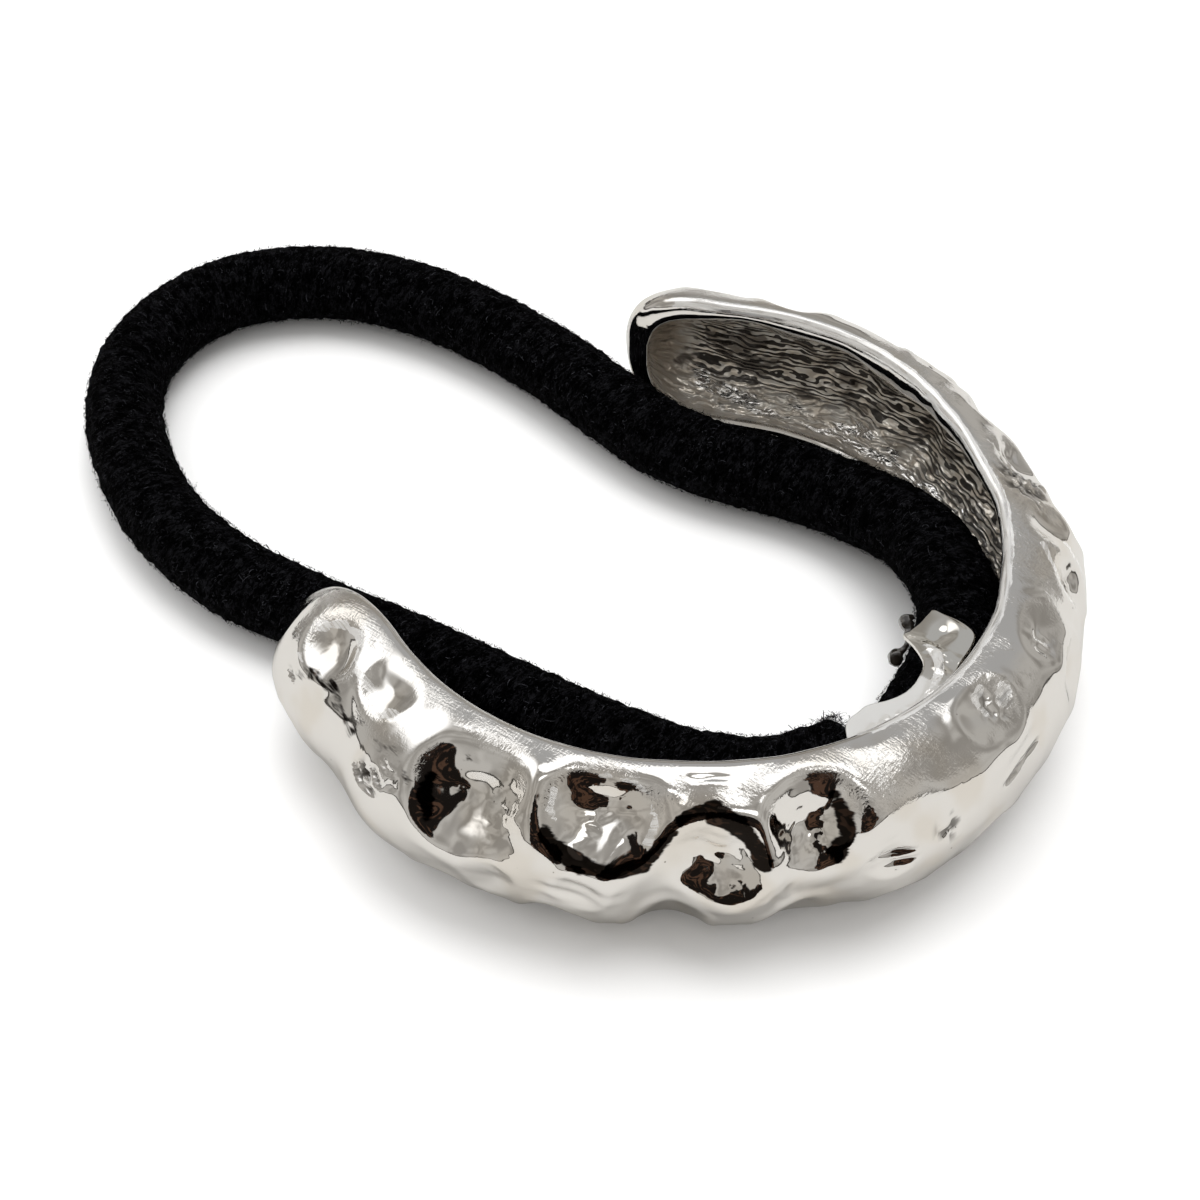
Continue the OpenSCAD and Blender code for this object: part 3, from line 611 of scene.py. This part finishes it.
# A crease along the front right of the wall, below which it stands steeper:
# along, up, height in mm
crease = [
    [-0.300, 0.22, 0.42], [-0.270, 0.26, 0.42], [-0.243, 0.36, 0.42], [-0.222, 0.46, 0.42],
    [-0.198, 0.55, 0.42], [-0.168, 0.59, 0.42], [-0.134, 0.49, 0.42], [-0.082, 0.41, 0.38],
    [-0.049, 0.45, 0.40], [0.011, 0.49, 0.38], [0.095, 0.45, 0.36], [0.150, 0.42, 0.36],
]


def run_left(a):
    return np.radians(arm_turn - np.abs(a)) * mid_r


def rounded(run, l):
    q = clamp01(1 - run / l)
    return (1 - q ** tip_power) ** (1 / tip_power)


def section_share(a):
    return rounded(run_left(a), tip_l)


def hollow_share(a):
    end = wall_t * tip_wall
    return np.where(run_left(a) <= end, 0.0, rounded(run_left(a) - end, tip_l - end))


def rim_out(a):
    return (rim_wander * between(sections, 1, a / arm_turn)
            + tip_lean * smooth01((np.abs(a) / arm_turn - lean_start) / (1 - lean_start)))


def lip_here(a):
    return lip_r * np.minimum(1, lip_taper * section_share(a))


def lip_mid_r(a):
    return mid_r - (mid_r - ring_r) * section_share(a) + lip_here(a)


def full_depth(a):
    return channel_d * between(sections, 2, a / arm_turn)


def outer_depth(a):
    return mid_r + (ring_r + full_depth(a) - mid_r) * section_share(a) - lip_mid_r(a)


def outer_half_h(a):
    return half_h * section_share(a)


def hollow_depth(a):
    return (full_depth(a) - lip_r - wall_t) * hollow_share(a)


def hollow_half_h(a, side):
    extra = wall_t * between(thick_lip_rows, 1, a / arm_turn) if side > 0 else 0.0
    return np.maximum((half_h - wall_t - extra) * hollow_share(a), mouth_least * outer_half_h(a))


def oval(t, depth, half):
    c, s = np.abs(np.cos(t)), np.abs(np.sin(t))
    p = np.where(t > 0, upper_power, lower_power)
    k = (c ** p + s ** p) ** (-1 / p)
    return depth * k * c, half * k * s * np.sign(t)


def oval_normal(t, depth, half):
    n = np.stack(np.broadcast_arrays(half * np.cos(t), depth * np.sin(t)), -1)
    return unit(n)


def place(a, r, w):
    a, r, w = np.broadcast_arrays(np.radians(a), r, w)
    return np.stack([r * np.sin(a), -r * np.cos(a), half_h + w], -1)


def wall_point(a, t):
    r, w = oval(t, outer_depth(a), outer_half_h(a))
    return place(a, lip_mid_r(a) + rim_out(a) + r, w)


def wall_place(along, up):
    return wall_point(np.array(along * arm_turn), np.array(math.radians(up * 90)))


def pushed_in(a, t):
    """How far the dents push the wall in. The wobble keeps them from being round."""
    p = wall_point(a, t)
    p = p + 0.40 * wobble3(p, 3.0, 60.0) + 0.16 * wobble3(p, 1.2, 160.0)
    total = np.zeros(p.shape[:-1])
    for along, up, size, depth in dents:
        q = np.linalg.norm(p - wall_place(along, up), axis=-1) / (size * dent_w / 2)
        bowl = np.where(q < 1, np.maximum(1 - q * q, 0) ** bowl_power, 0)
        ridge = np.exp(-((q - ridge_at) / ridge_w) ** 2)
        total += np.where(q < dent_reach, depth * dent_depth * (bowl - dent_ridge * ridge), 0)
    fade = smooth01((1 - np.abs(t) / (np.pi / 2)) / dent_fade)
    return fade * section_share(a) * total


def small_marks(p):
    """How far the gouges and rough spots push the wall in at points p, and how much
    shade is painted at their bottoms."""
    p = p + 0.10 * wobble3(p, 0.9, 210.0)
    total, score_shade = np.zeros(p.shape[:-1]), np.zeros(p.shape[:-1])
    for along_a, up_a, along_b, up_b, width, depth in gouges:
        s, far = to_segment(p, wall_place(along_a, up_a), wall_place(along_b, up_b))
        fade = np.sqrt(clamp01(4 * s * (1 - s)) + 0.05)
        total += depth * fade * (np.exp(-(far / width) ** 2)
                                 - 0.35 * np.exp(-((far - 1.7 * width) / (0.7 * width)) ** 2))
        score_shade += smooth01((depth - 0.10) / 0.10) * fade * np.exp(-(far / (0.45 * width)) ** 2)
    grain = wobble(p, 0.55, 90.0) + 0.5 * wobble(p, 0.33, 95.0)
    for along, up, size, depth in rough_spots:
        q = np.linalg.norm(p - wall_place(along, up), axis=-1) / size
        rough = smooth01(0.5 + 1.8 * grain)
        total += depth * np.exp(-q ** 4) * (0.25 + 1.2 * rough)
        score_shade += smooth01((depth - 0.06) / 0.08) * np.exp(-q ** 4) * smooth01(3 * rough - 2.1)
    return total, clamp01(score_shade)


def tone_lines(p):
    """How much highlight and how much dark reflection the tones paint on the wall at points p."""
    p = p + 0.22 * wobble3(p, 1.0, 310.0)
    bright, dark = np.zeros(p.shape[:-1]), np.zeros(p.shape[:-1])
    for tone, width, *places in tones:
        at = [wall_place(along, up) for along, up in zip(places[::2], places[1::2])]
        far = np.min([to_segment(p, start, end)[1] for start, end in zip(at[:-1], at[1:])], 0)
        mark = abs(tone) * np.exp(-(far / width) ** 4)
        if tone > 0:
            bright = np.maximum(bright, mark)
        else:
            dark = np.maximum(dark, mark)
    return bright, dark


def creased_out(along, up):
    """How far the crease stands out from the wall."""
    fade, mm_per_up, above_w, below_w = 0.085, 7.2, 2.4, 1.15
    line_up, height = through(crease, 1, along), through(crease, 2, along)
    height = (height * smooth01((along - crease[0][0]) / fade)
              * smooth01((crease[-1][0] - along) / fade))
    far = (up - line_up) * mm_per_up
    return height * np.exp(-(far / np.where(far > 0, above_w, below_w)) ** 2)


def make_cuff():
    tip_turn = math.degrees(tip_l / mid_r)
    tips, main, wall_n, lip_n, hollow_n = 34, 500, 100, 10, 50
    finish_r, ripple_h = 20.0, 0.05
    ends = arm_turn - tip_turn * (1 - np.sin(np.radians(88.5 * (tips - np.arange(tips)) / tips)))
    middle = (arm_turn - tip_turn) * np.linspace(-1, 1, main + 1)
    a = np.r_[-ends, middle, ends[::-1]][:, None]
    depth, half, lip = outer_depth(a), outer_half_h(a), lip_here(a)
    base = lip_mid_r(a) + rim_out(a)
    share = hollow_share(a)
    merged = 1 - clamp01(share / lip_merge)

    t = np.radians(np.linspace(-90, 90, wall_n + 1))[None]
    r, w = oval(t, depth, half)
    wall_push = pushed_in(a, t)
    n = oval_normal(t, depth, half)
    wall = np.stack([r - n[..., 0] * wall_push, w - n[..., 1] * wall_push], -1)

    low, low_under = hollow_half_h(a, 1), hollow_half_h(a, -1)
    g = np.radians(180 * np.arange(1, lip_n + 1) / (lip_n + 1))[None]
    bulge = np.where(g < np.pi / 2, np.sin(g), merged + (1 - merged) * np.sin(g))
    lip_top, lip_low = [
        np.stack([-lip * bulge, side * ((half + end) / 2 + (half - end) / 2 * np.cos(g))], -1)
        for side, end in ((1, low), (-1, low_under))]
    lip_low = lip_low[:, ::-1]

    t = np.radians(90 - 180 * np.arange(hollow_n + 1) / hollow_n)[None]
    h_depth, h_half = hollow_depth(a), np.where(t > 0, low, low_under)
    r, w = oval(t, h_depth, h_half)
    n = oval_normal(t, np.maximum(h_depth, wall_t), h_half)
    push = pushed_in(a, t) * dent_inside * share
    hollow = np.stack([r - lip * merged - n[..., 0] * push, w - n[..., 1] * push], -1)

    loop = np.concatenate([wall, lip_top, hollow, lip_low], 1)
    points = place(a, base + loop[..., 0], loop[..., 1]) + ring_centre
    rings, m = points.shape[:2]
    first = slice(wall_n + 1 + lip_n, wall_n + 1 + lip_n + hollow_n + 1)
    inside = np.zeros((rings, m))
    inside[:, first] = smooth01(share * 1.4) * np.sin(np.pi * (np.arange(hollow_n + 1) + 0.6)
                                                      / (hollow_n + 1.2)) ** 0.25

    # Fine relief: soft waves outside, and rough ripples along the hollow.
    normal = unit(np.cross(np.roll(points, -1, 1) - np.roll(points, 1, 1),
                           np.gradient(points, axis=0)))
    middle_out = unit(points - points.mean(1, keepdims=True))
    normal *= np.sign((normal * middle_out).sum((0, 1, 2)))
    arc = np.radians(a) * finish_r * np.ones((1, m))
    across = np.cumsum(np.linalg.norm(np.diff(points, axis=1, prepend=points[:, :1]), axis=2), 1)
    across = np.ones((rings, 1)) * np.median(across, 0)
    along = arc / np.radians(arm_turn) / finish_r
    up_in = np.zeros((1, m))
    up_in[:, first] = np.linspace(1, -1, hollow_n + 1)
    ripple_at = np.stack([arc * 0.40, across, np.zeros_like(arc)], -1)
    ripple = wobble(ripple_at, 0.62, 5.0) + 0.8 * wobble(points, 1.3, 31.0)
    soft = 0.055 * wobble(points, 3.0, 2.0) + 0.010 * wobble(points, 1.1, 12.0)
    dimpled = np.zeros((rings, m))
    dimpled[:, :wall_n + 1] = smooth01(wall_push / 0.5)
    marks, score_shade = small_marks(points - ring_centre)
    up_row = np.linspace(-1, 1, wall_n + 1)
    up_wall = np.full((1, m), -1.0)
    up_wall[:, :wall_n + 1] = up_row
    soft = (soft + 0.030 * wobble(points, 0.8, 72.0) * dimpled - marks
            + creased_out(along + 0 * up_wall, up_wall + 0.03 * wobble(points, 2.0, 75.0)))
    calm = section_share(a) * np.ones((1, m))
    on_wall = np.zeros((1, m))
    on_wall[:, :wall_n + 1] = smooth01((1 - np.abs(up_row)) / 0.10)
    # The lower part of the +X arm's hollow is smoother, with fewer painted dark lines, and
    #     # bright ragged bulges whose highlights are painted on further down.
    smoother = smooth01((along - 0.54) / 0.06) * (1 - smooth01((up_in + 0.62) / 0.25))
    points = points + normal * (soft * calm * on_wall + ripple_h * ripple * inside)[..., None]
    # A spot in the hollow where more of the painted dark reflection lines are drawn.
    dark_spot = np.exp(-((along - 0.85) / 0.04) ** 2 - ((up_in + 0.08) / 0.22) ** 2)
    furrow = (inside * (1 - 0.75 * smoother + 0.8 * dark_spot)
              * (1 - smooth01((np.abs(along) - 0.89) / 0.05)))
    tan = inside * smooth01((np.abs(along) - 0.90) / 0.05)
    # Painted highlights in a pale satin white: on the +X arm's upper lip, along the
    #     # bright tones of the wall, and on ragged patches in the hollow.
    bright = np.zeros((rings, m))
    bright[:, wall_n - 1:wall_n + 1] = [0.20, 0.55]
    bright[:, wall_n + 1:wall_n + 1 + lip_n] = 0.80 * (1 - smooth01((np.degrees(g) - 50) / 40))
    bright *= smooth01((along + 0.22) / 0.06) * (1 - smooth01((along - 0.90) / 0.08))
    lit, dark = tone_lines(points - ring_centre)
    bright = np.maximum(bright, lit * on_wall)
    for at_along, at_up, long, tall, amount in painted_hollow_highlights:
        bright += amount * inside * np.exp(-((along - at_along) / long) ** 2
                                           - ((up_in - at_up) / tall) ** 2)

    tip_points = [place(end, mid_r + rim_out(np.array(end)), 0) + ring_centre
                  for end in (-arm_turn, arm_turn)]
    verts = np.vstack([points.reshape(-1, 3), *tip_points])
    verts[:, 2] = np.maximum(verts[:, 2], 0.0)
    worn = np.zeros((rings, m))
    worn[:, :wall_n + 1] = (smooth01((up_row - 0.40) / 0.25)
                            * smooth01(1 - np.abs(wall_push) / 0.25))
    obj = new_object("cuff", verts, skin_faces(rings, m), silver)
    grid_uv(obj, np.r_[arc.ravel(), 0, 0], np.r_[across.ravel(), 0, 0])
    looks = {"worn": worn, "inside": inside, "furrow": furrow, "tan": tan, "bright": bright,
             "dark": dark * on_wall, "score_shade": score_shade * on_wall}
    for name, values in looks.items():
        point_value(obj, name, np.r_[values.ravel(), 0, 0])
    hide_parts("cuff_shell")


make_cuff()

# ---------------------------------------------------------------- keeper
keeper_reach, keeper_turn, keeper_end = 3.9, 39.5, 12.5
keeper_t, keeper_drop, keeper_gap, keeper_bend = 0.35, 0.9, 0.15, 1.6
# along, back edge, front edge, drop
keeper_rows = [
    [0.00, -0.10, 0.04, 0.0], [0.04, -0.12, 0.30, 0.0], [0.08, -0.14, 0.40, 0.0],
    [0.14, -0.14, 0.44, 0.0], [0.20, -0.14, 0.47, 0.0], [0.30, -0.14, 0.38, 0.0],
    [0.40, -0.14, 0.33, 0.0], [0.50, 0.02, 0.37, 0.1], [0.60, 0.07, 0.48, 0.3],
    [0.69, 0.11, 0.76, 0.6], [0.77, 0.12, 1.03, 0.9], [0.82, 0.12, 0.99, 1.0],
    [0.90, 0.18, 0.91, 1.0], [0.95, 0.42, 0.88, 1.0], [1.00, 0.80, 0.84, 1.0],
]


def spot(along, across, at_along, at_across, size_along, size_across):
    return np.exp(-((along - at_along) / size_along) ** 2
                  - ((across - at_across) / size_across) ** 2)


def make_keeper():
    steps, over, edge = 170, 44, 5
    along = np.linspace(0, 1, steps + 1)[:, None]
    a = keeper_end - keeper_turn * (1 - along)
    back_e, front_e = through(keeper_rows, 1, along), through(keeper_rows, 2, along)
    drop = keeper_drop * clamp01(through(keeper_rows, 3, along))
    top = cuff_h - wall_t - keeper_gap
    # Across the strap: over the top, round the front edge, under, round the back edge.
    s = np.linspace(0, 1, over + 1)
    turn = np.radians(np.linspace(0, 180, edge + 2)[1:-1])
    across = np.r_[s, 1 + 0 * turn, s[::-1], 0 * turn][None]
    level = np.r_[0 * s, (np.cos(turn) - 1) / 2, -1 + 0 * s, (-np.cos(turn) - 1) / 2][None]
    out = np.r_[0 * s, np.sin(turn), 0 * s, -np.sin(turn)][None] * keeper_t * 0.35
    share = back_e + (front_e - back_e) * across
    fall = drop * clamp01(share) ** keeper_bend
    upper = level > -0.5
    # The head's two dimples, and the fold beyond which its outer part leans away.
    lift = (-0.20 * spot(along, across, 0.860, 0.46, 0.050, 0.17)
            - 0.14 * spot(along, across, 0.775, 0.52, 0.045, 0.13)
            - 0.10 * smooth01((0.30 - across) / 0.25) * smooth01((along - 0.70) / 0.06)
            - 0.10 * spot(along, across, 0.66, 0.2, 0.05, 0.6))
    # A rough bead of solder runs along the strap and widens up the inner edge.
    solder_at = np.where(along < 0.55, 0.40, 0.40 + 1.1 * (along - 0.55))
    solder = (np.exp(-((across - solder_at) / (0.15 + 0.10 * smooth01((along - 0.3) / 0.3))) ** 2)
              * smooth01((0.80 - along) / 0.12))
    r = ring_r + rim_out(a) - keeper_reach * share - out
    w = top - half_h - fall + level * keeper_t
    points = place(a, r, w) + ring_centre
    ragged = 0.5 + 1.3 * wobble(points, 0.50, 44.0) + 0.7 * wobble(points, 0.24, 47.0)
    lift = lift + solder * (0.05 + 0.13 * smooth01(ragged))
    points[..., 2] += np.where(upper, lift, 0.25 * np.minimum(lift, 0))
    points[..., 2] += 0.015 * wobble(points, 1.3, 40.0)
    rings, m = points.shape[:2]
    verts = np.vstack([points.reshape(-1, 3), points[0].mean(0), points[-1].mean(0)])
    solder = np.where(upper, solder, 0.0)
    obj = new_object("keeper_strap", verts, skin_faces(rings, m), keeper_lit_silver)
    # Painted highlights: pale satin white along the strap and on the solder bead.
    strap_highlight = 0.47 * (1 - smooth01((along - 0.50) / 0.12)) * upper
    point_value(obj, "bright", np.r_[np.maximum(0.75 * solder, strap_highlight).ravel(), 0, 0])
    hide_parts("keeper")


make_keeper()

# ---------------------------------------------------------------- glue
glue_d, glue_gap = 0.85, 0.06
# at, back, lift, girth
glue_rows = [
    [35.62, 0.97, 0.55, 0.35], [35.72, 0.98, 0.55, 0.85], [35.82, 0.97, 0.50, 1.00],
    [35.96, 0.98, 0.45, 0.60], [36.20, 0.97, 0.35, 0.40], [36.42, 0.98, 0.25, 0.45],
    [36.56, 0.98, 0.20, 0.85], [36.66, 0.97, 0.15, 0.95], [36.76, 0.95, 0.10, 0.45],
]


def make_tube(name, points, radii, sides, material, rough):
    """A tube along points in mm, with a surface that wobbles by rough."""
    t, across, up = tube_frames(points)
    g = np.linspace(0, 2 * np.pi, sides, endpoint=False)
    ring = np.cos(g)[None, :, None] * across[:, None] + np.sin(g)[None, :, None] * up[:, None]
    where = points[:, None] + ring * radii[:, None, None]
    where = where + ring * (rough * wobble(where, 0.5, 50.0))[..., None]
    verts = np.vstack([where.reshape(-1, 3), points[0], points[-1]])
    return new_object(name, verts, skin_faces(len(points), sides), material)


def make_glue():
    path_step, sides, rough = 0.07, 28, 0.15
    rows = []
    for at, back_s, lift, girth in glue_rows:
        i = int(at)
        here = route[i] * (1 - (at - i)) + route[i + 1] * (at - i)
        middle = np.array([here[0], here[1], elastic_d / 2 + here[2]])
        inward = unit(np.array([-middle[0], -middle[1], 0.0]))
        p = (middle + [0, 0, lift]
             + inward * (elastic_d / 2 * here[3] * back_s + glue_gap + girth * glue_d / 2))
        rows.append([*(p + ring_centre), girth * glue_d / 2])
    fine = spline(np.array(rows), path_step)
    obj = make_tube("glue_beads", fine[:, :3], fine[:, 3], sides, glue, rough)
    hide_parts("joint_glue")
    return obj


glue_beads = make_glue()

# ---------------------------------------------------------------- floor and light
mesh = bpy.data.meshes.new("floor")
size, floor_z = 3.0, -0.00002
mesh.from_pydata([(-size, -size, floor_z), (size, -size, floor_z),
                  (size, size, floor_z), (-size, size, floor_z)], [], [(0, 1, 2, 3)])
floor = bpy.data.objects.new("floor", mesh)
scene.collection.objects.link(floor)
floor_material, n = new_material("floor_white")
# Seen in the metal the floor is darker than seen by the camera: painted shade for the shadowed
# floor round the cuff.
mirrored = n.add("ShaderNodeLightPath").outputs["Is Glossy Ray"]
white_shaded_in_reflections = n.mix(mirrored, (0.93, 0.93, 0.93, 1), (0.56, 0.553, 0.538, 1))
finish_material(n, **{"Base Color": white_shaded_in_reflections, "Roughness": 0.9, "Specular IOR Level": 0.1})
mesh.materials.append(floor_material)

# The studio round the table: grey walls with a dark line at the horizon, soft boxes
# overhead and round the sides, and the dark side of the room behind the camera.
world = bpy.data.worlds.new("studio")
scene.world = world
world.use_nodes = True
n = Nodes(world.node_tree)
way = n.add("ShaderNodeTexCoord").outputs["Generated"]


def facing(direction):
    node = n.add("ShaderNodeVectorMath", {0: way, 1: tuple(Vector(direction).normalized())},
                 operation="DOT_PRODUCT")
    return node.outputs["Value"]


def toward(turn, rise):
    t, r = math.radians(turn), math.radians(rise)
    return (math.sin(t) * math.cos(r), -math.cos(t) * math.cos(r), math.sin(r))


def soft_box(turn, rise, wide, high, soft, ragged):
    """1 inside an oval patch of sky, falling to 0 over soft parts of its size. ragged
    moves its edge in and out."""
    t, r = math.radians(turn), math.radians(rise)
    middle = Vector(toward(turn, rise))
    side = Vector((math.cos(t), math.sin(t), 0))
    top = side.cross(middle)
    x = n.math("DIVIDE", facing(side), math.sin(math.radians(wide)))
    y = n.math("DIVIDE", facing(top), math.sin(math.radians(high)))
    far = n.math("SQRT", n.math("ADD", n.math("MULTIPLY", x, x), n.math("MULTIPLY", y, y)))
    far = n.math("ADD", far, ragged)
    front = n.math("GREATER_THAN", facing(middle), 0.0)
    return n.math("MULTIPLY", n.steps(far, 1 - soft, 1 + soft, 1.0, 0.0), front)


wall_back, wall_front = (0.345, 0.330, 0.305, 1), (0.43, 0.415, 0.39, 1)
wall_dim, wall_lit = (0.10, 0.09, 0.08, 1), (0.85, 0.84, 0.82, 1)
horizon_dark, wall_spread = (0.020, 0.017, 0.014, 1), (0.73, 0.72, 0.705, 1)
room_black, room_brown = (0.010, 0.008, 0.007, 1), (0.075, 0.042, 0.028, 1)
table_white = (1.0, 1.0, 1.0, 1)
path = n.add("ShaderNodeLightPath").outputs
wall = n.mix(n.steps(facing(toward(view_turn, 0)), -0.6, 0.6), wall_back, wall_front)
uneven = n.noise(way, 2.6, 1.0, 0.62)
wall = n.mix(n.steps(uneven, 0.35, 0.65), n.mix(0.35, wall, wall_dim),
             n.mix(0.20, wall, wall_lit))
horizon = n.steps(n.math("ABSOLUTE", n.math("SUBTRACT", facing((0, 0, 1)), 0.018)),
                  0.012, 0.030, 0.85, 0.0)
wall = n.mix(horizon, wall, horizon_dark)
wall = n.mix(path["Is Diffuse Ray"], wall, wall_spread)
streaks = n.noise(n.stretch(way, (4.0, 4.0, 16.0)), 1.0, 1.0, 0.6)
dark = n.mix(n.steps(streaks, 0.52, 0.60), room_black, room_brown)
torn = n.math("MULTIPLY", n.math("SUBTRACT", n.noise(way, 6.0, 1.0, 0.6), 0.5), 0.7)
seen = n.math("SUBTRACT", 1.0, path["Is Diffuse Ray"])
dark_side = n.math("MULTIPLY", soft_box(view_turn + 2, 20, 30, 29, 0.05, torn), seen)
room = n.mix(dark_side, wall, dark)


def light_box(room, patch, mirror, spread):
    """A light box over the room: mirror is how bright the metal shows it, and spread
    how bright it lights the floor and the elastic."""
    glow = n.math("ADD", n.math("MULTIPLY", path["Is Diffuse Ray"], spread - mirror), mirror)
    colour = n.add("ShaderNodeCombineColor", {"Red": glow, "Green": glow, "Blue": glow})
    return n.mix(patch, room, colour.outputs[0])


# turn from the camera, rise, width, height, softness, ragged edge, mirror, spread
light_boxes = [
    [165, 48, 34, 16, 0.30, 0.0, 0.40, 2.6], [-114, 50, 27, 17, 0.30, 0.0, 1.35, 3.0],
    [148, 75, 22, 16, 0.12, torn, 1.35, 5.5], [10, 66, 13, 6, 0.15, 0.0, 1.60, 1.0],
]
for turn, rise, wide, high, soft, ragged, mirror, spread in light_boxes:
    patch = soft_box(view_turn + turn, rise, wide, high, soft, ragged)
    room = light_box(room, patch, mirror, spread)
# Below the floor's level, and where the camera sees past the floor, it is white.
room = n.mix(n.steps(facing((0, 0, 1)), -0.02, 0.0, 1.0, 0.0), room, table_white)
room = n.mix(path["Is Camera Ray"], room, table_white)
light = n.add("ShaderNodeBackground", {"Color": room, "Strength": 1.0})
out = n.add("ShaderNodeOutputWorld")
n.tree.links.new(light.outputs[0], out.inputs[0])
